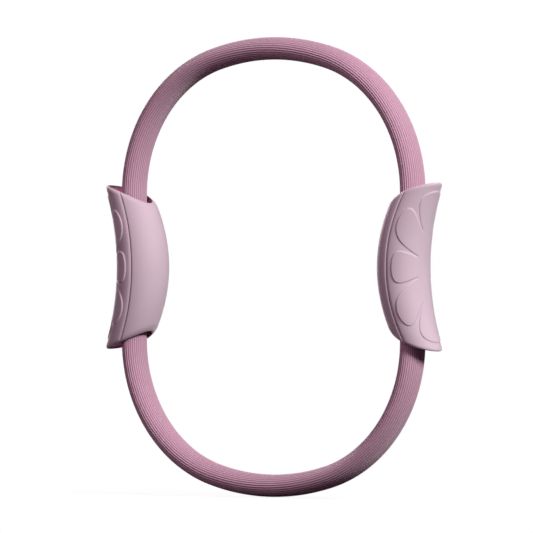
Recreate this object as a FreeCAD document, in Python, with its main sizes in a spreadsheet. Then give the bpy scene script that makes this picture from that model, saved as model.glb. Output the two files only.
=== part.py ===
"""Pilates ring: two sprung arches, joined inside two soft grips.

The ring stands upright in the XZ plane with its centre at the origin. The grips are pressed together
along X, Y is the axis of the ring and +Z is up. Lengths are in millimetres.
"""
import FreeCAD
import Part
import Sketcher
import math
import os

SIZES = {
    # Centreline of an arch: a straight side, a tighter shoulder and a flatter crown
    "side_offset": 140.2,
    "straight_half": 61.7,
    "shoulder_radius": 115.3,
    "crown_radius": 203.2,
    # Foam sleeve, an oval tube that ends inside the grips
    "sleeve_width": 25.2,
    "sleeve_depth": 18.6,
    "sleeve_end_height": 30.0,
    "bore_clearance": 0.3,
    # Glass-fibre leaves, two to an arch
    "leaf_width": 14.0,
    "leaf_depth": 2.4,
    "leaf_gap": 0.2,
    "leaf_end_gap": 1.0,
    # Steel plates and rivets that join the upper leaves to the lower ones
    "splice_length": 52.0,
    "splice_depth": 1.6,
    "splice_corner": 3.0,
    "rivet_diameter": 4.0,
    "rivet_head_diameter": 7.2,
    "rivet_crown_diameter": 4.6,
    "rivet_head_height": 1.2,
    "rivet_near_height": 7.0,
    "rivet_far_height": 20.0,
    "rivet_clearance": 0.2,
    # Grip, an oval in section that is fuller in the middle and bowed in towards the ring's centre
    "grip_set_in": 9.3,
    "grip_bow": 14.3,
    "grip_half_length": 62.0,
    "grip_depth": 43.0,
    "grip_end_depth": 38.3,
    "grip_width": 43.4,
    "grip_end_width": 34.0,
    # Open ends of the grip, cut on an arc that rises outwards, with its height and slope over the sleeve
    "rim_height": 61.3,
    "rim_angle": 22.3,
    "rim_radius": 130.0,
    "rim_fillet": 0.8,
    # Walls of the grip: soft skin over a hard shell, with a lip of skin round the shell's end
    "skin_wall": 1.3,
    "skin_clearance": 0.1,
    "shell_wall": 1.4,
    "lip_depth": 1.8,
    # Parting between the outer and the inner half, an arc in side view
    "seam_set_in": 12.1,
    "seam_radius": 135.0,
    "seam_groove": 0.9,
    "shell_gap": 0.1,
    # Ribs inside the shells that clamp the splice
    "rib_height": 13.5,
    "rib_depth": 2.4,
    "clamp_clearance": 0.15,
    "notch_clearance": 0.3,
    # Screws that close the shells
    "screw_diameter": 3.0,
    "screw_length": 16.0,
    "screw_head_diameter": 5.6,
    "screw_head_height": 2.0,
    "screw_clearance": 0.2,
    "screw_side_room": 8.9,
    "screw_height": 21.0,
    "screw_seat_depth": 3.8,
    "screw_tip_room": 1.5,
    "boss_diameter": 7.0,
}

# Heights of the sections that the grip is lofted through, in half lengths of the grip
GRIP_LEVELS = (-1.25, -0.625, 0.0, 0.625, 1.25)

X_AXIS = FreeCAD.Vector(1, 0, 0)
Y_AXIS = FreeCAD.Vector(0, 1, 0)
Z_AXIS = FreeCAD.Vector(0, 0, 1)

doc = FreeCAD.newDocument("pilates_ring")
sheet = doc.addObject("Spreadsheet::Sheet", "Sizes")
for row, (alias, value) in enumerate(SIZES.items(), start=1):
    sheet.set(f"A{row}", alias)
    sheet.set(f"B{row}", str(value))
    sheet.setAlias(f"B{row}", alias)
doc.recompute()

GRIP_CENTRE = "(Sizes.side_offset - Sizes.grip_set_in)"
SEAM_OFFSET = "(Sizes.side_offset - Sizes.seam_set_in)"
STACK_HALF = "(Sizes.leaf_gap / 2 + Sizes.leaf_depth + Sizes.splice_depth)"
SCREW_SEAT = f"({SEAM_OFFSET} - Sizes.screw_seat_depth)"


def size(alias):
    """A driving dimension, read from the sheet."""
    return float(sheet.get(alias))


def add(kind, name, expressions, rotation=None):
    """Adds an object and binds its properties to the sheet."""
    obj = doc.addObject(kind, name)
    if rotation:
        axis, angle = rotation
        obj.Placement = FreeCAD.Placement(FreeCAD.Vector(), FreeCAD.Rotation(axis, angle))
    for prop, expression in expressions.items():
        obj.setExpression(prop, expression)
    return obj


def place(x="0", y="0", z="0"):
    """Expressions for the three coordinates of an object's place."""
    return {"Placement.Base.x": x, "Placement.Base.y": y, "Placement.Base.z": z}


def box(name, x, y, z, x_length, y_length, z_length):
    """A block that starts at x and is centred on y and z."""
    sides = {"Length": x_length, "Width": y_length, "Height": z_length}
    return add("Part::Box", name, {
        **sides, **place(x, f"({y}) - ({y_length}) / 2", f"({z}) - ({z_length}) / 2")})


def rod(name, diameter, length, x, y, z):
    """A cylinder that starts at x and runs along +X."""
    measures = {"Radius": f"({diameter}) / 2", "Height": length}
    return add("Part::Cylinder", name, {**measures, **place(x, y, z)}, rotation=(Y_AXIS, 90))


def taper(name, start_diameter, end_diameter, length, x, z):
    """A cone that starts at x and runs along +X."""
    measures = {"Radius1": f"({start_diameter}) / 2", "Radius2": f"({end_diameter}) / 2", "Height": length}
    return add("Part::Cone", name, {**measures, **place(x=x, z=z)}, rotation=(Y_AXIS, 90))


def cut(name, base, tool):
    obj = doc.addObject("Part::Cut", name)
    obj.Base, obj.Tool = base, tool
    return obj


def common(name, base, tool):
    obj = doc.addObject("Part::Common", name)
    obj.Base, obj.Tool = base, tool
    return obj


def fuse(name, shapes):
    obj = doc.addObject("Part::MultiFuse", name)
    obj.Shapes = shapes
    return obj


def group(name, shapes):
    obj = doc.addObject("Part::Compound", name)
    obj.Links = shapes
    return obj


def mirror(name, source, normal):
    obj = doc.addObject("Part::Mirroring", name)
    obj.Source, obj.Normal = source, normal
    return obj


def arch_path(name, start_height):
    """Sketch of an arch's centreline, from the right side over the crown to the left side."""
    offset, straight = size("side_offset"), size("straight_half")
    shoulder, crown = size("shoulder_radius"), size("crown_radius")
    crown_angle = math.asin((offset - shoulder) / (crown - shoulder))
    crown_drop = (crown - shoulder) * math.cos(crown_angle)
    start = size("leaf_end_gap") / 2
    turn = math.pi / 2 - crown_angle

    path = doc.addObject("Sketcher::SketchObject", name)
    path.Placement = FreeCAD.Placement(FreeCAD.Vector(), FreeCAD.Rotation(X_AXIS, 90))

    def arc(x, z, radius, first, last):
        circle = Part.Circle(FreeCAD.Vector(x, z, 0), Z_AXIS, radius)
        return path.addGeometry(Part.ArcOfCircle(circle, first, last))

    def line(x, first, last):
        return path.addGeometry(Part.LineSegment(FreeCAD.Vector(x, first, 0), FreeCAD.Vector(x, last, 0)))

    right_side = line(offset, start, straight)
    right_shoulder = arc(offset - shoulder, straight, shoulder, 0, turn)
    crown_arc = arc(0, straight - crown_drop, crown, turn, math.pi - turn)
    left_shoulder = arc(shoulder - offset, straight, shoulder, math.pi - turn, math.pi)
    left_side = line(-offset, straight, start)

    tangent_pairs = ((right_side, right_shoulder), (right_shoulder, crown_arc),
                     (crown_arc, left_shoulder), (left_shoulder, left_side))
    first_end, last_end, centre, upright_axis = 1, 2, 3, -2
    for before, after in tangent_pairs:
        path.addConstraint(Sketcher.Constraint("Tangent", before, last_end, after, first_end))
    path.addConstraint(Sketcher.Constraint("Vertical", right_side))
    path.addConstraint(Sketcher.Constraint("Vertical", left_side))
    path.addConstraint(Sketcher.Constraint("Equal", right_shoulder, left_shoulder))
    path.addConstraint(Sketcher.Constraint("PointOnObject", crown_arc, centre, upright_axis))
    path.addConstraint(Sketcher.Constraint(
        "Symmetric", right_side, first_end, left_side, last_end, upright_axis))
    driven = (
        (Sketcher.Constraint("Radius", right_shoulder, shoulder), "Sizes.shoulder_radius"),
        (Sketcher.Constraint("Radius", crown_arc, crown), "Sizes.crown_radius"),
        (Sketcher.Constraint("DistanceX", right_side, first_end, offset), "Sizes.side_offset"),
        (Sketcher.Constraint("DistanceY", right_side, first_end, start), start_height),
        (Sketcher.Constraint("DistanceY", right_side, last_end, straight), "Sizes.straight_half"),
    )
    for constraint, expression in driven:
        path.setExpression(f"Constraints[{path.addConstraint(constraint)}]", expression)
    return path


def sweep(name, section, path):
    obj = doc.addObject("Part::Sweep", name)
    obj.Sections = [section]
    obj.Spine = (path, [f"Edge{number}" for number in range(1, path.GeometryCount + 1)])
    obj.Solid = True
    obj.Frenet = False
    return obj


def bar_section(name, inner_face, depth, width, height):
    """A rectangle that a flat bar or slot is swept from, at the foot of an arch's right side."""
    sides = {"Length": depth, "Width": width}
    return add("Part::Plane", name, {**sides, **place(inner_face, f"-({width}) / 2", height)})


def sleeves():
    """Upper and lower foam tube, with a slot for the leaves."""
    start_height = "Sizes.sleeve_end_height"
    path = arch_path("sleeve_path", start_height)
    oval = add("Part::Ellipse", "sleeve_oval", {
        "MajorRadius": "Sizes.sleeve_width / 2", "MinorRadius": "Sizes.sleeve_depth / 2",
        **place(x="Sizes.side_offset", z=start_height)}, rotation=(Z_AXIS, 90))
    slot_half = "(Sizes.leaf_gap / 2 + Sizes.leaf_depth + Sizes.bore_clearance)"
    slot = bar_section("sleeve_slot", f"Sizes.side_offset - {slot_half}", f"2 * {slot_half}",
                       "Sizes.leaf_width + 2 * Sizes.bore_clearance", start_height)
    upper = cut("upper_sleeve", sweep("sleeve_outside", oval, path), sweep("sleeve_bore", slot, path))
    return [upper, mirror("lower_sleeve", upper, Z_AXIS)]


def rivet_heights():
    """Heights of the four rivets in a grip, two above the middle and two below."""
    levels = ("Sizes.rivet_near_height", "Sizes.rivet_far_height")
    return [f"{end} {level}" for end in ("", "-") for level in levels]


def rivet_holes():
    """Four holes across the whole ring, through both splices and all leaves."""
    diameter = "Sizes.rivet_diameter + Sizes.rivet_clearance"
    start, length = "-2 * Sizes.side_offset", "4 * Sizes.side_offset"
    return group("rivet_holes", [rod(f"rivet_hole_{number}", diameter, length, start, "0", height)
                                 for number, height in enumerate(rivet_heights(), start=1)])


def leaves(holes):
    """Outer and inner leaf of the upper and of the lower arch."""
    start_height = "Sizes.leaf_end_gap / 2"
    path = arch_path("leaf_path", start_height)
    inner_faces = {
        "outer_leaf": "Sizes.side_offset + Sizes.leaf_gap / 2",
        "inner_leaf": "Sizes.side_offset - Sizes.leaf_gap / 2 - Sizes.leaf_depth",
    }
    made = []
    for name, inner_face in inner_faces.items():
        section = bar_section(f"{name}_section", inner_face, "Sizes.leaf_depth", "Sizes.leaf_width",
                              start_height)
        upper = cut(f"upper_{name}", sweep(f"{name}_bar", section, path), holes)
        made += [upper, mirror(f"lower_{name}", upper, Z_AXIS)]
    return made


def splices(holes):
    """Outer and inner plate over the leaf ends in the right grip, with rounded corners."""
    leaf_face = "(Sizes.leaf_gap / 2 + Sizes.leaf_depth)"
    inner_faces = {
        "right_outer_splice": f"Sizes.side_offset + {leaf_face}",
        "right_inner_splice": f"Sizes.side_offset - {STACK_HALF}",
    }
    made = []
    for name, inner_face in inner_faces.items():
        blank = box(f"{name}_blank", inner_face, "0", "0",
                    "Sizes.splice_depth", "Sizes.leaf_width", "Sizes.splice_length")
        doc.recompute()
        rounded = doc.addObject("Part::Fillet", f"{name}_plate")
        rounded.Base = blank
        corner = size("splice_corner")
        rounded.Edges = [(number, corner, corner) for number, edge in enumerate(blank.Shape.Edges, start=1)
                         if abs(edge.tangentAt(edge.FirstParameter).x) > 0.9]
        made.append(cut(name, rounded, holes))
    return made


def splice_rivets():
    """Four rivets through plates and leaves, with a low tapered head at each end."""
    outer_face = f"Sizes.side_offset + {STACK_HALF}"
    inner_face = f"Sizes.side_offset - {STACK_HALF}"
    base, crown, rise = "Sizes.rivet_head_diameter", "Sizes.rivet_crown_diameter", "Sizes.rivet_head_height"
    rivets = []
    for number, height in enumerate(rivet_heights(), start=1):
        shank = rod(f"rivet_{number}_shank", "Sizes.rivet_diameter", f"2 * {STACK_HALF}",
                    inner_face, "0", height)
        outer_head = taper(f"rivet_{number}_outer_head", base, crown, rise, outer_face, height)
        inner_head = taper(f"rivet_{number}_inner_head", crown, base, rise, f"{inner_face} - {rise}", height)
        rivets.append(fuse(f"rivet_{number}", [shank, outer_head, inner_head]))
    return group("right_splice_rivets", rivets)


def grip_form(name, inset):
    """Solid of the right grip's outside, longer than the grip, with its surface set in by the inset."""
    half_length = size("grip_half_length")
    centre = size("side_offset") - size("grip_set_in")
    sections = []
    for level in GRIP_LEVELS:
        share = level ** 2
        depth = size("grip_depth") + share * (size("grip_end_depth") - size("grip_depth")) - 2 * inset
        width = size("grip_width") + share * (size("grip_end_width") - size("grip_width")) - 2 * inset
        oval = FreeCAD.Matrix()
        oval.scale(depth, width, 1)
        oval.move(FreeCAD.Vector(centre + share * size("grip_bow"), 0, level * half_length))
        halves = [Part.makeCircle(0.5, FreeCAD.Vector(), Z_AXIS, first, first + 180) for first in (0, 180)]
        sections.append(Part.Wire([half.transformGeometry(oval).Edges[0] for half in halves]))
    form = doc.addObject("Part::Feature", name)
    form.Shape = Part.makeLoft(sections, True, False)
    return form


def drum(name, radius, x, z):
    """A cylinder across the ring, longer than the grip is wide."""
    measures = {"Radius": radius, "Height": "2 * Sizes.grip_width"}
    return add("Part::Cylinder", name, {**measures, **place(x, "Sizes.grip_width", z)}, rotation=(X_AXIS, 90))


def end_trim(name, set_back):
    """What two drums share: the top of one and the foot of the other give the open ends of the grip."""
    radius = f"Sizes.rim_radius - ({set_back})"
    x = "Sizes.side_offset + Sizes.rim_radius * sin(Sizes.rim_angle * 1 deg)"
    drop = "(Sizes.rim_radius * cos(Sizes.rim_angle * 1 deg) - Sizes.rim_height)"
    return common(name, drum(f"{name}_top", radius, x, f"-{drop}"), drum(f"{name}_foot", radius, x, drop))


def seam_drum(name, change):
    """Drum whose side is the parting between the halves of the right grip: the outer half is inside it."""
    return drum(name, f"Sizes.seam_radius + ({change})", f"{SEAM_OFFSET} + Sizes.seam_radius", "0")


def rim_edges(shape):
    """Numbers of the round edges that lie on the two arched ends of the grip."""
    radius, angle = size("rim_radius"), math.radians(size("rim_angle"))
    centre = size("side_offset") + radius * math.sin(angle)
    drop = radius * math.cos(angle) - size("rim_height")
    tolerance = size("rim_fillet") / 10
    found = []
    for number, edge in enumerate(shape.Edges, start=1):
        points = edge.discretize(9)
        off_rim = max(abs(math.hypot(p.x - centre, abs(p.z) + drop) - radius) for p in points)
        along_seam = abs(points[0].x - points[-1].x) < tolerance
        if off_rim < tolerance and not along_seam:
            found.append(number)
    return found


def covers(form, skin_inside, cavity):
    """Outer and inner soft cover of the right grip, each with a lip round the ends of the shell."""
    body = common("skin_body", form, end_trim("skin_trim", "0"))
    room = common("skin_room", skin_inside, end_trim("lip_trim", "Sizes.lip_depth"))
    skin = cut("skin", cut("skin_with_ends", body, room), cavity)
    half_groove = "Sizes.seam_groove / 2"
    halves = {
        "right_outer_cover": common("outer_skin", skin, seam_drum("outer_cover_drum", f"-{half_groove}")),
        "right_inner_cover": cut("inner_skin", skin, seam_drum("inner_cover_drum", half_groove)),
    }
    doc.recompute()
    made = []
    for name, half in halves.items():
        rounded = doc.addObject("Part::Fillet", name)
        rounded.Base = half
        rounded.Edges = [(number, size("rim_fillet"), size("rim_fillet")) for number in rim_edges(half.Shape)]
        made.append(rounded)
    return made


def screw_places():
    """Sideways place and height of each screw."""
    spread = "(Sizes.grip_width / 2 - Sizes.screw_side_room)"
    return [(f"{side} {spread}", f"{end} Sizes.screw_height") for side in ("", "-") for end in ("", "-")]


def rib_slabs(name, x, x_length, y_length):
    """Two cross slabs, above and below the middle of the grip."""
    return [box(f"{name}_{number}", x, "0", f"{end} Sizes.rib_height", x_length, y_length, "Sizes.rib_depth")
            for number, end in enumerate(("", "-"), start=1)]


def shells(form, cavity):
    """Outer and inner hard shell of the right grip, with ribs that clamp the splice and screw bosses."""
    across = f"{GRIP_CENTRE} - Sizes.grip_depth"
    across_length = "2 * Sizes.grip_depth"
    body = common("shell_body", form, end_trim("shell_trim", "Sizes.lip_depth + Sizes.skin_clearance"))
    bosses = [rod(f"boss_{number}", "Sizes.boss_diameter", across_length, across, y, z)
              for number, (y, z) in enumerate(screw_places(), start=1)]
    ribs = rib_slabs("rib", across, across_length, "2 * Sizes.grip_width")
    inside = common("fitted_ribs_and_bosses", fuse("ribs_and_bosses", ribs + bosses), form)
    both = fuse("shell_blank", [cut("shell_walls", body, cavity), inside])

    bores = [rod(f"screw_bore_{number}", "Sizes.screw_diameter + Sizes.screw_clearance",
                 "Sizes.screw_length + Sizes.screw_tip_room", SCREW_SEAT, y, z)
             for number, (y, z) in enumerate(screw_places(), start=1)]
    sinks = [rod(f"screw_sink_{number}", "Sizes.screw_head_diameter + 2 * Sizes.screw_clearance",
                 "Sizes.grip_depth", f"{SCREW_SEAT} - Sizes.grip_depth", y, z)
             for number, (y, z) in enumerate(screw_places(), start=1)]

    notch_start = f"{SEAM_OFFSET} - Sizes.rib_depth"
    notch = box("splice_notch", notch_start, "0", "0",
                f"Sizes.side_offset + {STACK_HALF} + Sizes.clamp_clearance - ({notch_start})",
                "Sizes.leaf_width + 2 * Sizes.notch_clearance", "Sizes.splice_length")
    outer_half = common("outer_shell_half", both, seam_drum("outer_shell_drum", "0"))
    outer = cut("right_outer_shell", outer_half, fuse("outer_shell_cuts", bores + [notch]))

    tongues = rib_slabs("tongue", notch_start,
                        f"Sizes.side_offset - {STACK_HALF} - Sizes.clamp_clearance - ({notch_start})",
                        "Sizes.leaf_width - 2 * Sizes.notch_clearance")
    inner_half = cut("inner_shell_half", both, seam_drum("inner_shell_drum", "Sizes.shell_gap"))
    inner = cut("right_inner_shell", fuse("inner_shell_with_tongues", [inner_half] + tongues),
                fuse("inner_shell_cuts", bores + sinks))
    return [outer, inner]


def grip_screws():
    """Four pan-head screws that go in from the inner side."""
    screws = []
    for number, (y, z) in enumerate(screw_places(), start=1):
        shank = rod(f"screw_{number}_shank", "Sizes.screw_diameter", "Sizes.screw_length", SCREW_SEAT, y, z)
        head = rod(f"screw_{number}_head", "Sizes.screw_head_diameter", "Sizes.screw_head_height",
                   f"{SCREW_SEAT} - Sizes.screw_head_height", y, z)
        screws.append(fuse(f"screw_{number}", [shank, head]))
    return group("right_grip_screws", screws)


def right_grip(holes):
    """All pieces of the right grip."""
    skin_wall, shell_inset = size("skin_wall"), size("skin_wall") + size("skin_clearance")
    form = grip_form("grip_outside", 0)
    skin_inside = grip_form("skin_inside", skin_wall)
    shell_outside = grip_form("shell_outside", shell_inset)
    cavity = grip_form("grip_cavity", shell_inset + size("shell_wall"))
    return [*covers(form, skin_inside, cavity), *shells(shell_outside, cavity),
            *splices(holes), splice_rivets(), grip_screws()]


holes = rivet_holes()
right_pieces = right_grip(holes)
left_pieces = [mirror(piece.Name.replace("right", "left"), piece, X_AXIS) for piece in right_pieces]
pieces = [*sleeves(), *leaves(holes), *right_pieces, *left_pieces]
doc.recompute()

for obj in doc.Objects:
    if "Invalid" in obj.State or "Error" in obj.State:
        raise RuntimeError(f"{obj.Label} failed: {obj.State}")
for piece in pieces:
    if piece.Shape.isNull() or not piece.Shape.isValid():
        raise RuntimeError(f"{piece.Label} has no valid shape")

os.makedirs("parts", exist_ok=True)
for piece in pieces:
    piece.Shape.exportStep(f"parts/{piece.Label}.step")
    solids = len(piece.Shape.Solids)
    print(f"{piece.Label}: {solids} solids, {piece.Shape.Volume / 1000:.2f} cm3")
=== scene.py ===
"""Looks of a pilates ring: ribbed foam tubes and soft moulded grips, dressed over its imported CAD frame.

The ring stands in the XZ plane with its centre at the origin, as in the frame. Lengths are in metres.
"""

import math

import bpy
import numpy as np
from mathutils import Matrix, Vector


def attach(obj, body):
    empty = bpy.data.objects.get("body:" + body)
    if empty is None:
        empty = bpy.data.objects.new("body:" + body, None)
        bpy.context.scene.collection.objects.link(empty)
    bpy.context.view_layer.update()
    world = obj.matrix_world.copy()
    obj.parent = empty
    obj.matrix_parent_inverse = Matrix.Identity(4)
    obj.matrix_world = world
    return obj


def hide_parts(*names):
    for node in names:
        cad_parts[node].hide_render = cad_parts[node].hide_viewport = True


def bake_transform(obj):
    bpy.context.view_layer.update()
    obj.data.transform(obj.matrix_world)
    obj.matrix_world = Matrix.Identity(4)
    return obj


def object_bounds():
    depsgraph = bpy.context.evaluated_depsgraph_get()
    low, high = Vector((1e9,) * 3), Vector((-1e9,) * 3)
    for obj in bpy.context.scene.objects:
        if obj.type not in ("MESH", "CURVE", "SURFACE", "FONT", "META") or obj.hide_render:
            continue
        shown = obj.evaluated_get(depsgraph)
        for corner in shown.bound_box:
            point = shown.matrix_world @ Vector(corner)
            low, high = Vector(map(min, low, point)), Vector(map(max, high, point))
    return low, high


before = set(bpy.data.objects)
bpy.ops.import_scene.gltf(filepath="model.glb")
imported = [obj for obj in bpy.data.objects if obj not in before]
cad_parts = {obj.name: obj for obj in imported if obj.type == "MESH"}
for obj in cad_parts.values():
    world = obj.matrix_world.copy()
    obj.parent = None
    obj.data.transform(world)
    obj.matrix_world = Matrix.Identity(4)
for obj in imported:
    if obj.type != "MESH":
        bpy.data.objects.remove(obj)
cad_low, cad_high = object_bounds()

MM = 0.001

# Centreline of an arch: a straight side, a tighter shoulder and a flatter crown
SIDE_OFFSET = 140.2 * MM
STRAIGHT_HALF = 61.7 * MM
SHOULDER_RADIUS = 115.3 * MM
CROWN_RADIUS = 203.2 * MM
ARCH_STEP = 4 * MM

# Foam tube: an oval with lengthwise ribs, and a slot for the spring leaves
TUBE_WIDTH = 25.2 * MM
TUBE_DEPTH = 18.6 * MM
TUBE_END_HEIGHT = 30 * MM
RIB_COUNT = 36
RIB_POINTS = 12
RIB_DEPTH = 0.4 * MM
OVAL_FINE_STEPS = 8000
SLOT_WIDTH = 14.6 * MM
SLOT_DEPTH = 5.6 * MM
SLOT_POINTS = 24

# Spring leaves, two to an arch
LEAF_WIDTH = 14 * MM
LEAF_DEPTH = 2.4 * MM
LEAF_GAP = 0.2 * MM
LEAF_END_HEIGHT = 0.5 * MM
LEAF_CORNER = 0.3 * MM

# Grip: an oval in section, fuller in the middle and bowed in towards the ring's centre
GRIP_CENTRE = 130.9 * MM
GRIP_BOW = 14.3 * MM
GRIP_HALF_LENGTH = 62 * MM
GRIP_DEPTH = 43 * MM
GRIP_END_DEPTH = 38.3 * MM
GRIP_WIDTH = 43.4 * MM
GRIP_END_WIDTH = 34 * MM
RIM_HEIGHT = 61.3 * MM
RIM_ANGLE = math.radians(22.3)
RIM_RADIUS = 130 * MM
SEAM_CENTRE = 263.1 * MM
SEAM_RADIUS = 135 * MM
SEAM_HALF_GROOVE = 0.2 * MM

# Soft covers: a thin skin with a lip at the open ends, rolled rims and edges that dip to the parting
SKIN_WALL = 1.3 * MM
LIP_WALL = 2.8 * MM
LIP_START = 2.0 * MM
LIP_FULL = 0.6 * MM
LIP_EDGE_WALL = 2.5 * MM
RIM_ROLL_LENGTH = 3.2 * MM
RIM_ROLL_DEPTH = 2.2 * MM
EDGE_ROLL_WIDTH = 1.4 * MM
OUTER_EDGE_ROLL_DEPTH = 0.45 * MM
INNER_EDGE_ROLL_DEPTH = 0.9 * MM
BEVEL_WIDTH = 2.2 * MM
BEVEL_DROP = 0.35 * MM
RIM_ROLL_STEPS = 12
EDGE_ROLL_STEPS = 8
BACK_STRIDE = 4
COVER_REPEATS = 12

# The two covers of a grip: the angle of a cover's middle round the oval, and the steps along and round it
OUTER_MIDDLE = 0
INNER_MIDDLE = math.pi
PETAL_COVER_STEPS = (268, 252)
SMOOTH_COVER_STEPS = (120, 104)

# Ornament on the outer covers: eight petals round a long oval, alike above and below and on both sides.
# A place on a cover is its height and its length round the grip from the middle of the cover
END_PETAL = dict(
    tip_height=61.4 * MM, tip_arc=0, direction=math.radians(0),
    length=36 * MM, half_width=14 * MM, tip_power=7, bend=0)
CORNER_PETAL = dict(
    tip_height=45.6 * MM, tip_arc=25.4 * MM, direction=math.radians(48),
    length=50 * MM, half_width=10.2 * MM, tip_power=6, bend=9.4 * MM)
SIDE_PETAL = dict(
    tip_height=0, tip_arc=31.2 * MM, direction=math.radians(90),
    length=29.6 * MM, half_width=13 * MM, tip_power=9, bend=0)
ROSETTE_HALF_HEIGHT = 40 * MM
ROSETTE_HALF_ARC = 9.3 * MM
PETAL_RISE = 0.75 * MM
PETAL_EDGE = 0.85 * MM

# View of the photograph: level, turned to the right, from far away, with the ring a little right of centre
IMAGE_PIXELS = 533
PIXEL_SIZE = 0.826 * MM
RING_PIXEL_RIGHT = 5.2
RING_PIXEL_DOWN = 0.55
VIEW_ANGLE = math.radians(35)
VIEW_DISTANCE = 6.0
SENSOR_WIDTH = 36.0
VIEW_RIGHT = Vector((math.cos(VIEW_ANGLE), math.sin(VIEW_ANGLE), 0))
VIEW_UP = Vector((0, 0, 1))
VIEW_BACK = Vector((math.sin(VIEW_ANGLE), -math.cos(VIEW_ANGLE), 0))

# Light: a white key, and the pink that surfaces round about give to the weaker lamps
WHITE = (1.0, 1.0, 1.0)
PALE_PINK = (1.0, 0.86, 0.93)
PINK_BOUNCE = (1.0, 0.72, 0.86)
AMBIENT_LEVEL = 0.03

# Floor: what it throws back at the ring, what it shows of the lamps' light and its own glow in view. It
# turns plain white between two distances from the ring's middle
FLOOR_REACH = 12.0
FLOOR_GAP = 0.5 * MM
FLOOR_BOUNCE = 0.05
FLOOR_LIT = 0.12
FLOOR_GLOW = 0.9
FLOOR_WHITE_START = 0.15
FLOOR_WHITE_END = 0.4

# Finishes: a darker and a paler colour of each, and the painted shade in the foam's grooves
FOAM_COLOURS = ((0.60, 0.36, 0.47), (0.66, 0.405, 0.515))
FOAM_GROOVE_SHADE_COLOUR = (0.20, 0.065, 0.11)
FOAM_GROOVE_SHADE_SHARE = 0.58
SKIN_COLOURS = ((0.575, 0.44, 0.51), (0.635, 0.49, 0.56))
SHELL_COLOURS = ((0.72, 0.30, 0.44), (0.78, 0.34, 0.49))
FIBRE_COLOURS = ((0.50, 0.42, 0.26), (0.72, 0.66, 0.48))
FIBRES_ALONG = 12
FIBRES_ACROSS = 40
PLATE_COLOUR = (0.62, 0.61, 0.60)
RIVET_COLOUR = (0.70, 0.69, 0.67)
STEEL_LINE_TONE = 0.8
STEEL_LINES_PER_METRE = 2500
BUMP_STRENGTH = 0.6

# Most of a noise's values lie between these
NOISE_LOW = 0.3
NOISE_HIGH = 0.7


def smooth_step(value, low, high):
    """Zero below low, one above high, and 3t^2 - 2t^3 of the share t of the way between."""
    share = np.clip((value - low) / (high - low), 0, 1)
    return share * share * (3 - 2 * share)


# Meshes from arrays


def grid_faces(numbers):
    """Four-sided faces of a grid of vertex numbers: each runs along a row first, then up a column."""
    corners = (numbers[:-1, :-1], numbers[:-1, 1:], numbers[1:, 1:], numbers[1:, :-1])
    return np.stack(corners, axis=-1).reshape(-1, 4)


def joining_faces(fine_loop, coarse_loop):
    """Faces between two closed loops.

    Each has one step of the coarse loop on one side, and the fine loop's steps beside it on the other."""
    stride = len(fine_loop) // len(coarse_loop)
    starts = np.arange(len(coarse_loop)) * stride
    fine = fine_loop[(starts[:, None] + np.arange(stride, -1, -1)) % len(fine_loop)]
    return np.column_stack([fine, coarse_loop, np.roll(coarse_loop, -1)])


def border(numbers):
    """Vertex numbers round the edge of a grid, in the turning sense of its faces."""
    return np.concatenate([numbers[0, :-1], numbers[:-1, -1], numbers[-1, :0:-1], numbers[:0:-1, 0]])


def plate_faces(front_shape, back_shape):
    """Faces of a closed plate: a fine front grid, a coarse back grid that faces away, and their border."""
    front = np.arange(np.prod(front_shape)).reshape(front_shape)
    back = front.size + np.arange(np.prod(back_shape)).reshape(back_shape)
    return [grid_faces(front), grid_faces(back)[:, ::-1], joining_faces(border(front), border(back))]


def tube_faces(outside_shape, bore_shape):
    """Faces of a closed tube: an outside with its rings closed up, a bore that faces in, and two ends."""
    outside = np.arange(np.prod(outside_shape)).reshape(outside_shape)
    bore = outside.size + np.arange(np.prod(bore_shape)).reshape(bore_shape)
    rings = [np.column_stack([grid, grid[:, 0]]) for grid in (outside, bore)]
    foot = joining_faces(outside[0], bore[0])
    head = joining_faces(outside[-1], bore[-1])[:, ::-1]
    return [grid_faces(rings[0]), grid_faces(rings[1])[:, ::-1], foot, head]


def make_piece(name, point_grids, face_arrays, material, masks=None, sharp_angle=50):
    """A mesh object at the origin, smooth but for edges sharper than the given angle in degrees.

    masks holds named values, one for each point, which the material reads."""
    points = np.concatenate([grid.reshape(-1, 3) for grid in point_grids])
    faces = [face for array in face_arrays for face in array.tolist()]
    mesh = bpy.data.meshes.new(name)
    mesh.from_pydata(points.tolist(), [], faces)
    for mask, values in (masks or {}).items():
        layer = mesh.attributes.new(mask, "FLOAT", "POINT")
        layer.data.foreach_set("value", values.astype(np.float32))
    mesh.polygons.foreach_set("use_smooth", np.ones(len(faces), dtype=bool))
    mesh.set_sharp_from_angle(angle=math.radians(sharp_angle))
    mesh.materials.append(material)
    piece = bpy.data.objects.new(name, mesh)
    bpy.context.scene.collection.objects.link(piece)
    return piece


def half_turn_upright(grid):
    """The same points turned half a turn about the upright axis: the right side's shape on the left."""
    return grid * (-1, -1, 1)


def half_turn_level(grid):
    """The same points turned half a turn about the ring's own axis: the upper arch's shape below."""
    return grid * (-1, 1, -1)


# Arches


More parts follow.
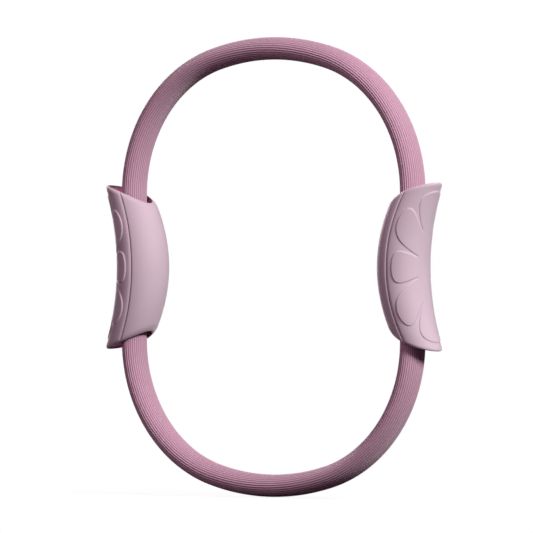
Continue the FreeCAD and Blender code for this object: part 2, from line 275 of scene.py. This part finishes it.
def arch_line(end_height):
    """Centreline of the upper arch, as points in X and Z and the directions that point out of the ring.

    Right half: a straight side, an arc of the shoulder radius and an arc of the crown radius, each tangent
    to the one before and cut into even steps. The left half is the right half in a mirror."""
    crown_angle = math.asin((SIDE_OFFSET - SHOULDER_RADIUS) / (CROWN_RADIUS - SHOULDER_RADIUS))
    turn = math.pi / 2 - crown_angle
    crown_centre = STRAIGHT_HALF - (CROWN_RADIUS - SHOULDER_RADIUS) * math.cos(crown_angle)

    def steps(length):
        return math.ceil(length / ARCH_STEP)

    side = np.linspace(end_height, STRAIGHT_HALF, steps(STRAIGHT_HALF - end_height), endpoint=False)
    shoulder = np.linspace(0, turn, steps(SHOULDER_RADIUS * turn), endpoint=False)
    crown = np.linspace(turn, math.pi / 2, steps(CROWN_RADIUS * crown_angle) + 1)
    angle = np.concatenate([np.zeros_like(side), shoulder, crown])
    x = np.concatenate([
        np.full_like(side, SIDE_OFFSET),
        SIDE_OFFSET - SHOULDER_RADIUS + SHOULDER_RADIUS * np.cos(shoulder),
        CROWN_RADIUS * np.cos(crown)])
    z = np.concatenate([
        side,
        STRAIGHT_HALF + SHOULDER_RADIUS * np.sin(shoulder),
        crown_centre + CROWN_RADIUS * np.sin(crown)])
    angle = np.concatenate([angle, math.pi - angle[-2::-1]])
    points = np.column_stack([np.concatenate([x, -x[-2::-1]]), np.concatenate([z, z[-2::-1]])])
    return points, np.column_stack([np.cos(angle), np.sin(angle)])


def swept(section_out, section_across, line):
    """Grid of a section carried along an arch: a row for each station, a column for each section point.

    A point is the station, plus the section's outward part along the arch's outward direction, plus its
    part across along Y."""
    points, outward = line
    x = points[:, :1] + outward[:, :1] * section_out
    z = points[:, 1:] + outward[:, 1:] * section_out
    y = np.broadcast_to(section_across, x.shape)
    return np.stack([x, y, z], axis=-1)


def ribbed_oval():
    """Outline of the foam tube, and how high each point lies on its rib, from 0 in a groove to 1 on a crest.

    Points are spaced evenly along an ellipse. Each rib rises as half of 1 + cos(pi f), where f runs from -1
    to 1 across it, and the outline is set in along the ellipse's normal."""
    half_across, half_out = TUBE_WIDTH / 2, TUBE_DEPTH / 2
    fine = np.linspace(0, 2 * math.pi, OVAL_FINE_STEPS + 1)
    lengths = np.hypot(np.diff(half_across * np.cos(fine)), np.diff(half_out * np.sin(fine)))
    travelled = np.concatenate([[0], np.cumsum(lengths)])
    share = np.arange(RIB_COUNT * RIB_POINTS) / (RIB_COUNT * RIB_POINTS)
    angle = np.interp(share * travelled[-1], travelled, fine)
    across_rib = 2 * ((share * RIB_COUNT) % 1) - 1
    rise = (1 + np.cos(math.pi * across_rib)) / 2
    normal = np.column_stack([-np.sin(angle) / half_out, np.cos(angle) / half_across])
    normal /= np.linalg.norm(normal, axis=1, keepdims=True)
    set_in = RIB_DEPTH * (1 - rise)
    out = -half_out * np.sin(angle) - set_in * normal[:, 0]
    across = half_across * np.cos(angle) - set_in * normal[:, 1]
    return out, across, rise


def rectangle(depth, width, count):
    """Outline of a rectangle: a circle drawn out to both half sizes and clipped where it passes the sides."""
    angle = np.arange(count) * 2 * math.pi / count
    out = -depth / 2 * np.clip(math.sqrt(2) * np.sin(angle), -1, 1)
    across = width / 2 * np.clip(math.sqrt(2) * np.cos(angle), -1, 1)
    return out, across


def foam_tube(name, node, turned, material):
    """Ribbed foam tube over one arch, with the slot inside it."""
    line = arch_line(TUBE_END_HEIGHT)
    out, across, rise = ribbed_oval()
    outside = turned(swept(out, across, line))
    bore = turned(swept(*rectangle(SLOT_DEPTH, SLOT_WIDTH, SLOT_POINTS), line))
    bore_ridge = np.full(bore.size // 3, 0.5)
    # The rib height also sets the painted shade in the foam's grooves
    ridge = np.concatenate([np.tile(rise, len(outside)), bore_ridge])
    faces = tube_faces(outside.shape[:2], bore.shape[:2])
    tube = make_piece(name, [outside, bore], faces, material, {"ridge": ridge})
    bend_with_squeeze(tube, node)


def spring_leaf(name, node, offset, turned, material):
    """Flat leaf along one arch, set out of the centreline by the offset, with slightly broken corners.

    The section is a rectangle whose corners are cut off, carried along the arch. The ends are flat."""
    full_out = np.repeat([1, 1, -1, -1], 2) * LEAF_DEPTH / 2
    full_across = np.repeat([1, -1, -1, 1], 2) * LEAF_WIDTH / 2
    cut_out = np.array([1, 0, 0, 1, -1, 0, 0, -1]) * LEAF_CORNER
    cut_across = np.array([0, 1, -1, 0, 0, -1, 1, 0]) * LEAF_CORNER
    line = arch_line(LEAF_END_HEIGHT)
    grid = turned(swept(full_out - cut_out + offset, full_across - cut_across, line))
    numbers = np.arange(grid.size // 3).reshape(grid.shape[:2])
    around = grid_faces(np.column_stack([numbers, numbers[:, 0]]))
    along = np.repeat(np.linspace(0, 1, len(grid)), grid.shape[1])
    faces = [around, numbers[:1, ::-1], numbers[-1:]]
    leaf = make_piece(name, [grid], faces, material, {"along": along}, sharp_angle=30)
    bend_with_squeeze(leaf, node)


def bend_with_squeeze(piece, node):
    """The piece stands for its CAD node: its placement is baked into its points and the node is hidden."""
    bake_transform(piece)
    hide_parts(node)


# Grip covers


def grip_section(z):
    """Middle in X, half depth and half width of the right grip's oval at a height.

    Each changes with the square of the height."""
    share = (z / GRIP_HALF_LENGTH) ** 2
    centre = GRIP_CENTRE + share * GRIP_BOW
    half_depth = (GRIP_DEPTH + share * (GRIP_END_DEPTH - GRIP_DEPTH)) / 2
    half_width = (GRIP_WIDTH + share * (GRIP_END_WIDTH - GRIP_WIDTH)) / 2
    return centre, half_depth, half_width


def rim_height(x):
    """Height of the upper open end: an arc that has its given height and slope over the foam tube."""
    centre = SIDE_OFFSET + RIM_RADIUS * math.sin(RIM_ANGLE)
    drop = RIM_RADIUS * math.cos(RIM_ANGLE) - RIM_HEIGHT
    return np.sqrt(RIM_RADIUS ** 2 - (x - centre) ** 2) - drop


def edge_spread(middle_steps, roll_steps, roll_width):
    """Places across a cover as a share of its half width plus a fixed length, closer together in the rolls.

    In the middle the share runs evenly from -1 to 1 over what the rolls leave. In a roll the gap to the edge
    is the width times 1 - sin of an even angle."""
    angle = np.linspace(0, math.pi / 2, roll_steps + 1)[1:]
    roll = roll_width * (np.sin(angle) - 1)
    middle = np.linspace(-1, 1, middle_steps + 1)
    ones = np.ones_like(roll)
    share = np.concatenate([-ones, middle, ones])
    length = np.concatenate([-roll[::-1], -middle * roll_width, roll])
    return share, length


def roll_depth(gap, width, depth):
    """How far a rolled edge dips at a gap from the edge: a quarter of an ellipse."""
    share = np.clip(1 - gap / width, 0, 1)
    return depth * (1 - np.sqrt(1 - share * share))


def cover_grid(rows, columns, middle_angle, wall):
    """Points of one face of a cover on the right grip.

    rows and columns are the spreads along and round the grip. Height is the row's place between the two
    arched rims, the angle round the oval is the column's place between the two partings, and the two
    depend on each other, so they are worked out again a few times. wall gives the depth under the grip's
    outside from the gap to the rim, the gap to the parting, the height and the length round the oval."""
    is_inner = middle_angle == INNER_MIDDLE
    drum = SEAM_RADIUS + (SEAM_HALF_GROOVE if is_inner else -SEAM_HALF_GROOVE)
    row_share, row_length = rows[0][:, None], rows[1][:, None]
    rim = RIM_HEIGHT
    for _ in range(COVER_REPEATS):
        z = row_share * rim + row_length
        centre, half_depth, half_width = grip_section(z)
        girth = (half_depth + half_width) / 2
        seam = SEAM_CENTRE - np.sqrt(drum ** 2 - z ** 2)
        seam_angle = np.arccos((seam - centre) / half_depth)
        half_arc = girth * (math.pi - seam_angle if is_inner else seam_angle)
        arc = columns[0] * half_arc + columns[1]
        angle = middle_angle + arc / girth
        depth = wall(rim - np.abs(z), half_arc - np.abs(arc), z, arc)
        x = centre + (half_depth - depth) * np.cos(angle)
        rim = rim_height(x)
    y = (half_width - depth) * np.sin(angle)
    return np.stack([x, y, np.broadcast_to(z, x.shape)], axis=-1)


def back_wall(rim_gap, seam_gap, z, arc):
    """Depth of a cover's hidden face: the skin, and a thicker lip that slopes in at the open ends."""
    lip = SKIN_WALL + (LIP_WALL - SKIN_WALL) * np.clip((LIP_START - rim_gap) / (LIP_START - LIP_FULL), 0, 1)
    broken = (LIP_WALL - LIP_EDGE_WALL) * np.clip(1 - rim_gap / LIP_FULL, 0, 1)
    return lip - broken


def joined_rolls(rim_roll, edge_roll):
    """Dip of two rolled edges together: the cube root of the sum of their cubes."""
    return np.cbrt(rim_roll ** 3 + edge_roll ** 3)


def petal_distance(z, arc, tip_height, tip_arc, direction, length, half_width, tip_power, bend):
    """Distance inside a petal's outline, less than zero outside it.

    With s the share of the way from the petal's root to its tip, the outline is where the square of the way
    aside of the midline is a constant times s (1 - s^p), so the root is round and narrow and the tip is
    broad. The midline ends at the tip and lies aside of it by the bend times 1 - s^4. The distance is that
    function over the length of its gradient."""
    share = ((z - tip_height) * math.cos(direction) + (arc - tip_arc) * math.sin(direction)) / length + 1
    from_root = np.clip(share, 0, 2)
    midline = bend * (1 - from_root ** 4)
    aside = (arc - tip_arc) * math.cos(direction) - (z - tip_height) * math.sin(direction) - midline
    widest = (1 + tip_power) ** (-1 / tip_power)
    fullness = half_width ** 2 / (widest * (1 - widest ** tip_power))
    tip = from_root ** tip_power
    inside = fullness * share * (1 - tip) - aside ** 2
    midline_change = -4 * bend * from_root ** 3
    along_change = (fullness * (1 - (1 + tip_power) * tip) + 2 * aside * midline_change) / length
    return inside / np.hypot(along_change, 2 * aside)


def oval_distance(z, arc, half_height, half_arc):
    """Distance inside an ellipse: its implicit function over one plus the length of its gradient.

    The one is small beside the gradient near the edge, and keeps the middle from a division by zero."""
    inside = 1 - (z / half_height) ** 2 - (arc / half_arc) ** 2
    return inside / (np.hypot(2 * z / half_height ** 2, 2 * arc / half_arc ** 2) + 1)


def petal_rise(z, arc):
    """Height of the rosette over the cover.

    The greatest of the distances inside the petals and the oval tells how far inside the rosette a point
    lies, and the rise is a smooth step across its edge."""
    up, aside = np.broadcast_arrays(np.abs(z), np.abs(arc))
    distance = oval_distance(up, aside, ROSETTE_HALF_HEIGHT, ROSETTE_HALF_ARC)
    for petal in (END_PETAL, CORNER_PETAL, SIDE_PETAL):
        distance = np.maximum(distance, petal_distance(up, aside, **petal))
    return PETAL_RISE * smooth_step(distance, -PETAL_EDGE / 2, PETAL_EDGE / 2)


def outer_wall(rim_gap, seam_gap, z, arc):
    """Depth of the outer cover's face: rolled rims, a bevel down to a rolled parting, and the rosette."""
    rim_roll = roll_depth(rim_gap, RIM_ROLL_LENGTH, RIM_ROLL_DEPTH)
    bevel = BEVEL_DROP * np.clip(1 - seam_gap / BEVEL_WIDTH, 0, 1)
    edge_roll = roll_depth(seam_gap, EDGE_ROLL_WIDTH, OUTER_EDGE_ROLL_DEPTH)
    return joined_rolls(rim_roll, bevel + edge_roll) - petal_rise(z, arc)


def inner_wall(rim_gap, seam_gap, z, arc):
    """Depth of the inner cover's face: rolled rims and partings."""
    rim_roll = roll_depth(rim_gap, RIM_ROLL_LENGTH, RIM_ROLL_DEPTH)
    edge_roll = roll_depth(seam_gap, EDGE_ROLL_WIDTH, INNER_EDGE_ROLL_DEPTH)
    return joined_rolls(rim_roll, edge_roll)


def cover(name, node, body, turned, middle_angle, wall, steps, material):
    """Soft cover of one half of a grip: a fine face, a coarse hidden face and the edges between them."""
    rows = edge_spread(steps[0], RIM_ROLL_STEPS, RIM_ROLL_LENGTH)
    columns = edge_spread(steps[1], EDGE_ROLL_STEPS, EDGE_ROLL_WIDTH)
    face = turned(cover_grid(rows, columns, middle_angle, wall))
    back_rows = [part[::BACK_STRIDE] for part in rows]
    back_columns = [part[::BACK_STRIDE] for part in columns]
    back = turned(cover_grid(back_rows, back_columns, middle_angle, back_wall))
    faces = plate_faces(face.shape[:2], back.shape[:2])
    piece = make_piece(name, [face, back], faces, material, sharp_angle=60)
    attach(piece, body)
    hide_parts(node)


# Materials


def new_material(name):
    """A material with its Principled shader, and the node tree's own helpers for adding and linking."""
    material = bpy.data.materials.new(name)
    material.use_nodes = True
    nodes, links = material.node_tree.nodes, material.node_tree.links
    return material, nodes, links, nodes["Principled BSDF"]


def moulded_grain_group():
    """Shared effect: a fine even grain for the bump, and slow mottling for colour and gloss."""
    group = bpy.data.node_groups.new("moulded grain", "ShaderNodeTree")
    sockets = group.interface
    sockets.new_socket("Vector", in_out="INPUT", socket_type="NodeSocketVector")
    sockets.new_socket("Grain Scale", in_out="INPUT", socket_type="NodeSocketFloat")
    sockets.new_socket("Mottle Scale", in_out="INPUT", socket_type="NodeSocketFloat")
    sockets.new_socket("Height", in_out="OUTPUT", socket_type="NodeSocketFloat")
    sockets.new_socket("Mottle", in_out="OUTPUT", socket_type="NodeSocketFloat")
    nodes, links = group.nodes, group.links
    inputs, outputs = nodes.new("NodeGroupInput"), nodes.new("NodeGroupOutput")
    grain, cells, mottle = (nodes.new(kind) for kind in (
        "ShaderNodeTexNoise", "ShaderNodeTexVoronoi", "ShaderNodeTexNoise"))
    grain.inputs["Detail"].default_value = 3
    mottle.inputs["Detail"].default_value = 5
    mottle.inputs["Roughness"].default_value = 0.6
    cells.feature = "SMOOTH_F1"
    both = nodes.new("ShaderNodeMath")
    both.operation = "ADD"
    for texture, scale in ((grain, "Grain Scale"), (cells, "Grain Scale"), (mottle, "Mottle Scale")):
        links.new(inputs.outputs["Vector"], texture.inputs["Vector"])
        links.new(inputs.outputs[scale], texture.inputs["Scale"])
    links.new(grain.outputs["Fac"], both.inputs[0])
    links.new(cells.outputs["Distance"], both.inputs[1])
    links.new(both.outputs[0], outputs.inputs["Height"])
    links.new(mottle.outputs["Fac"], outputs.inputs["Mottle"])
    return group


GRAIN = moulded_grain_group()


def add_grain(nodes, links, grain_scale, mottle_scale):
    """The shared grain, on the piece's own coordinates."""
    place = nodes.new("ShaderNodeTexCoord")
    grain = nodes.new("ShaderNodeGroup")
    grain.node_tree = GRAIN
    grain.inputs["Grain Scale"].default_value = grain_scale
    grain.inputs["Mottle Scale"].default_value = mottle_scale
    links.new(place.outputs["Object"], grain.inputs["Vector"])
    return grain


def add_ramp(nodes, links, value, low, high, low_end, high_end):
    """A value carried from one range to another."""
    ramp = nodes.new("ShaderNodeMapRange")
    for socket, number in (("From Min", low), ("From Max", high), ("To Min", low_end), ("To Max", high_end)):
        ramp.inputs[socket].default_value = number
    links.new(value, ramp.inputs["Value"])
    return ramp.outputs["Result"]


def add_colour_mix(nodes, links, value, first, second):
    """A colour between two, which are colours or sockets, by a value."""
    mix = nodes.new("ShaderNodeMix")
    mix.data_type = "RGBA"
    links.new(value, mix.inputs["Factor"])
    colour_sockets = [socket for socket in mix.inputs if socket.type == "RGBA"]
    for end, socket in zip((first, second), colour_sockets):
        if isinstance(end, bpy.types.NodeSocket):
            links.new(end, socket)
        else:
            socket.default_value = (*end, 1)
    return next(socket for socket in mix.outputs if socket.type == "RGBA")


def add_roughness(nodes, links, noise, shader, smooth, rough):
    """Roughness of a shader, from smooth to rough by a noise."""
    roughness = add_ramp(nodes, links, noise, NOISE_LOW, NOISE_HIGH, smooth, rough)
    links.new(roughness, shader.inputs["Roughness"])


def add_bump(nodes, links, height, shader, depth):
    """Bump of a depth in metres on a shader's normal."""
    bump = nodes.new("ShaderNodeBump")
    bump.inputs["Strength"].default_value = BUMP_STRENGTH
    bump.inputs["Distance"].default_value = depth
    links.new(height, bump.inputs["Height"])
    links.new(bump.outputs["Normal"], shader.inputs["Normal"])


def foam_material():
    """Closed-cell foam: dusty pink, matt, with fine cells, and painted shade that darkens the grooves."""
    material, nodes, links, shader = new_material("ribbed foam")
    grain = add_grain(nodes, links, grain_scale=2600, mottle_scale=60)
    ridge = nodes.new("ShaderNodeAttribute")
    ridge.attribute_name = "ridge"
    mottled = add_colour_mix(nodes, links, grain.outputs["Mottle"], *FOAM_COLOURS)
    # Painted shade: the colour is mixed towards a dark maroon in the grooves by the rib height, under any
    # light
    groove = add_ramp(nodes, links, ridge.outputs["Fac"], 0, 1, FOAM_GROOVE_SHADE_SHARE, 0)
    colour = add_colour_mix(nodes, links, groove, mottled, FOAM_GROOVE_SHADE_COLOUR)
    links.new(colour, shader.inputs["Base Color"])
    add_roughness(nodes, links, grain.outputs["Mottle"], shader, smooth=0.55, rough=0.68)
    shader.inputs["Specular IOR Level"].default_value = 0.03
    shader.inputs["Sheen Weight"].default_value = 0.8
    shader.inputs["Sheen Roughness"].default_value = 0.4
    add_bump(nodes, links, grain.outputs["Height"], shader, depth=0.02 * MM)
    return material


def cover_material():
    """Soft moulded skin: pale lilac pink, satin, with a very fine even grain."""
    material, nodes, links, shader = new_material("soft skin")
    grain = add_grain(nodes, links, grain_scale=3200, mottle_scale=45)
    colour = add_colour_mix(nodes, links, grain.outputs["Mottle"], *SKIN_COLOURS)
    links.new(colour, shader.inputs["Base Color"])
    add_roughness(nodes, links, grain.outputs["Mottle"], shader, smooth=0.5, rough=0.62)
    shader.inputs["Specular IOR Level"].default_value = 0.06
    shader.inputs["Sheen Weight"].default_value = 0.6
    shader.inputs["Sheen Roughness"].default_value = 0.4
    add_bump(nodes, links, grain.outputs["Height"], shader, depth=0.015 * MM)
    return material


def shell_material():
    """Hard moulded plastic of the shells: deeper pink, with a faint tool texture."""
    material, nodes, links, shader = new_material("hard shell")
    grain = add_grain(nodes, links, grain_scale=1800, mottle_scale=40)
    colour = add_colour_mix(nodes, links, grain.outputs["Mottle"], *SHELL_COLOURS)
    links.new(colour, shader.inputs["Base Color"])
    add_roughness(nodes, links, grain.outputs["Mottle"], shader, smooth=0.38, rough=0.48)
    add_bump(nodes, links, grain.outputs["Height"], shader, depth=0.02 * MM)
    return material


def fibre_material():
    """Glass-fibre leaf: pale straw resin with long fibres that run the length of the leaf."""
    material, nodes, links, shader = new_material("glass fibre")
    along, place = nodes.new("ShaderNodeAttribute"), nodes.new("ShaderNodeTexCoord")
    along.attribute_name = "along"
    apart, joined = nodes.new("ShaderNodeSeparateXYZ"), nodes.new("ShaderNodeCombineXYZ")
    links.new(place.outputs["Object"], apart.inputs["Vector"])
    lengthwise = add_ramp(nodes, links, along.outputs["Fac"], 0, 1, 0, FIBRES_ALONG)
    crosswise = add_ramp(nodes, links, apart.outputs["Y"], 0, LEAF_WIDTH, 0, FIBRES_ACROSS)
    links.new(lengthwise, joined.inputs["X"])
    links.new(crosswise, joined.inputs["Y"])
    fibres = nodes.new("ShaderNodeTexNoise")
    fibres.inputs["Scale"].default_value = 1
    fibres.inputs["Detail"].default_value = 4
    links.new(joined.outputs["Vector"], fibres.inputs["Vector"])
    colour = add_colour_mix(nodes, links, fibres.outputs["Fac"], *FIBRE_COLOURS)
    links.new(colour, shader.inputs["Base Color"])
    add_roughness(nodes, links, fibres.outputs["Fac"], shader, smooth=0.3, rough=0.45)
    add_bump(nodes, links, fibres.outputs["Fac"], shader, depth=0.1 * MM)
    return material


def steel_material(name, colour, line_stretch):
    """Steel with fine lines: a noise that is drawn out along Z by a stretch varies its tone and gloss."""
    material, nodes, links, shader = new_material(name)
    place, mapping = nodes.new("ShaderNodeTexCoord"), nodes.new("ShaderNodeMapping")
    across, along = STEEL_LINES_PER_METRE, STEEL_LINES_PER_METRE / line_stretch
    mapping.inputs["Scale"].default_value = (across, across, along)
    links.new(place.outputs["Object"], mapping.inputs["Vector"])
    lines = nodes.new("ShaderNodeTexNoise")
    lines.inputs["Scale"].default_value = 1
    lines.inputs["Detail"].default_value = 3
    links.new(mapping.outputs["Vector"], lines.inputs["Vector"])
    darker = tuple(STEEL_LINE_TONE * part for part in colour)
    toned = add_colour_mix(nodes, links, lines.outputs["Fac"], darker, colour)
    links.new(toned, shader.inputs["Base Color"])
    add_roughness(nodes, links, lines.outputs["Fac"], shader, smooth=0.28, rough=0.42)
    shader.inputs["Metallic"].default_value = 1
    add_bump(nodes, links, lines.outputs["Fac"], shader, depth=0.03 * MM)
    return material


# The dressed ring


def same_place(grid):
    """The points as they are."""
    return grid


def dress_arches(foam, fibre):
    """Foam tube and two spring leaves of each arch."""
    leaf_offset = (LEAF_GAP + LEAF_DEPTH) / 2
    for arch, turned in (("upper", same_place), ("lower", half_turn_level)):
        foam_tube(f"{arch}_ribbed_tube", f"{arch}_sleeve", turned, foam)
        for layer, offset in (("outer", leaf_offset), ("inner", -leaf_offset)):
            node = f"{arch}_{layer}_leaf"
            spring_leaf(f"{arch}_{layer}_spring", node, offset, turned, fibre)


def dress_grips(skin):
    """Outer and inner cover of each grip."""
    for side, turned in (("right", same_place), ("left", half_turn_upright)):
        body = f"{side}_grip"
        cover(
            f"{side}_petal_cover", f"{side}_outer_cover", body, turned,
            OUTER_MIDDLE, outer_wall, PETAL_COVER_STEPS, skin)
        cover(
            f"{side}_smooth_cover", f"{side}_inner_cover", body, turned,
            INNER_MIDDLE, inner_wall, SMOOTH_COVER_STEPS, skin)


def finish_cad_nodes(materials):
    """Materials of the CAD nodes that stay in view, by the last words of their names."""
    for name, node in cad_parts.items():
        for ending, material in materials.items():
            if name.endswith(ending):
                node.material_slots[0].material = material


# Stage, light and camera


def seen_directly(nodes, links):
    """One for camera, glossy and transmission rays, which show the white background, and zero for others."""
    path = nodes.new("ShaderNodeLightPath")
    total = path.outputs["Is Camera Ray"]
    for other in ("Is Glossy Ray", "Is Transmission Ray"):
        larger = nodes.new("ShaderNodeMath")
        larger.operation = "MAXIMUM"
        links.new(total, larger.inputs[0])
        links.new(path.outputs[other], larger.inputs[1])
        total = larger.outputs[0]
    return total


def white_floor():
    """Pale floor under the ring: white in view, with the ring's shadow, and plain white further out."""
    height = cad_low.z - FLOOR_GAP
    mesh = bpy.data.meshes.new("floor")
    corners = [(FLOOR_REACH * x, FLOOR_REACH * y, height) for x, y in ((-1, -1), (1, -1), (1, 1), (-1, 1))]
    mesh.from_pydata(corners, [], [(0, 1, 2, 3)])
    floor = bpy.data.objects.new("floor", mesh)
    bpy.context.scene.collection.objects.link(floor)

    material = bpy.data.materials.new("pale floor")
    material.use_nodes = True
    nodes, links = material.node_tree.nodes, material.node_tree.links
    nodes.clear()
    output = nodes.new("ShaderNodeOutputMaterial")
    bounce, lit, glow, white = (nodes.new(kind) for kind in (
        "ShaderNodeBsdfDiffuse", "ShaderNodeBsdfDiffuse", "ShaderNodeEmission", "ShaderNodeEmission"))
    bounce.inputs["Color"].default_value = (*(FLOOR_BOUNCE * part for part in PINK_BOUNCE), 1)
    lit.inputs["Color"].default_value = (*(FLOOR_LIT * part for part in WHITE), 1)
    glow.inputs["Strength"].default_value = FLOOR_GLOW
    white.inputs["Strength"].default_value = 1
    near = nodes.new("ShaderNodeAddShader")
    links.new(lit.outputs[0], near.inputs[0])
    links.new(glow.outputs[0], near.inputs[1])
    place, length = nodes.new("ShaderNodeTexCoord"), nodes.new("ShaderNodeVectorMath")
    length.operation = "LENGTH"
    links.new(place.outputs["Object"], length.inputs[0])
    far = add_ramp(nodes, links, length.outputs["Value"], FLOOR_WHITE_START, FLOOR_WHITE_END, 0, 1)
    ground, view = nodes.new("ShaderNodeMixShader"), nodes.new("ShaderNodeMixShader")
    links.new(far, ground.inputs[0])
    links.new(near.outputs[0], ground.inputs[1])
    links.new(white.outputs[0], ground.inputs[2])
    links.new(seen_directly(nodes, links), view.inputs[0])
    links.new(bounce.outputs[0], view.inputs[1])
    links.new(ground.outputs[0], view.inputs[2])
    links.new(view.outputs[0], output.inputs["Surface"])
    mesh.materials.append(material)


def white_world():
    """White in view, and a weak even light for the rest."""
    world = bpy.data.worlds.new("studio")
    bpy.context.scene.world = world
    world.use_nodes = True
    nodes, links = world.node_tree.nodes, world.node_tree.links
    background = nodes["Background"]
    background.inputs["Color"].default_value = (1, 1, 1, 1)
    strength = add_ramp(nodes, links, seen_directly(nodes, links), 0, 1, AMBIENT_LEVEL, 1)
    links.new(strength, background.inputs["Strength"])


def soft_lamp(name, right, up, front, distance, size, level, tint):
    """Square lamp that faces the ring, placed by the photograph's own directions.

    Its power gives the level at the ring: at 1, a surface that faces it shows its colour as written."""
    lamp = bpy.data.lights.new(name, "AREA")
    lamp.size = size
    lamp.color = tint
    lamp.energy = level * (math.pi * distance) ** 2
    lamp_object = bpy.data.objects.new(name, lamp)
    direction = (right * VIEW_RIGHT + up * VIEW_UP + front * VIEW_BACK).normalized()
    lamp_object.location = distance * direction
    lamp_object.rotation_euler = direction.to_track_quat("Z", "Y").to_euler()
    bpy.context.scene.collection.objects.link(lamp_object)


def photograph_camera():
    """Level camera far away, with a long lens that fits the image's width at the ring."""
    camera = bpy.data.cameras.new("camera")
    camera.sensor_width = SENSOR_WIDTH
    camera.lens = SENSOR_WIDTH * VIEW_DISTANCE / (IMAGE_PIXELS * PIXEL_SIZE)
    camera.clip_end = 100
    camera_object = bpy.data.objects.new("camera", camera)
    aside, raised = RING_PIXEL_RIGHT * PIXEL_SIZE, RING_PIXEL_DOWN * PIXEL_SIZE
    camera_object.location = VIEW_DISTANCE * VIEW_BACK - aside * VIEW_RIGHT + raised * VIEW_UP
    camera_object.rotation_euler = VIEW_BACK.to_track_quat("Z", "Y").to_euler()
    bpy.context.scene.collection.objects.link(camera_object)
    bpy.context.scene.camera = camera_object


dress_arches(foam_material(), fibre_material())
dress_grips(cover_material())
plate_steel = steel_material("plate steel", PLATE_COLOUR, line_stretch=40)
rivet_steel = steel_material("rivet steel", RIVET_COLOUR, line_stretch=1)
finish_cad_nodes({
    "_shell": shell_material(), "_splice": plate_steel, "_rivets": rivet_steel, "_screws": rivet_steel})

white_floor()
white_world()
soft_lamp("key", right=0.55, up=0.48, front=0.66, distance=4.0, size=1.0, level=1.13, tint=WHITE)
soft_lamp("overhead", right=0.15, up=1.0, front=0.1, distance=3.0, size=1.6, level=0.14, tint=PINK_BOUNCE)
soft_lamp("back", right=-0.35, up=0.25, front=-0.9, distance=4.0, size=0.8, level=0.6, tint=PALE_PINK)
soft_lamp("fill", right=-0.6, up=0.5, front=0.62, distance=3.0, size=1.4, level=0.23, tint=PINK_BOUNCE)
photograph_camera()
bpy.context.scene.view_settings.view_transform = "Standard"
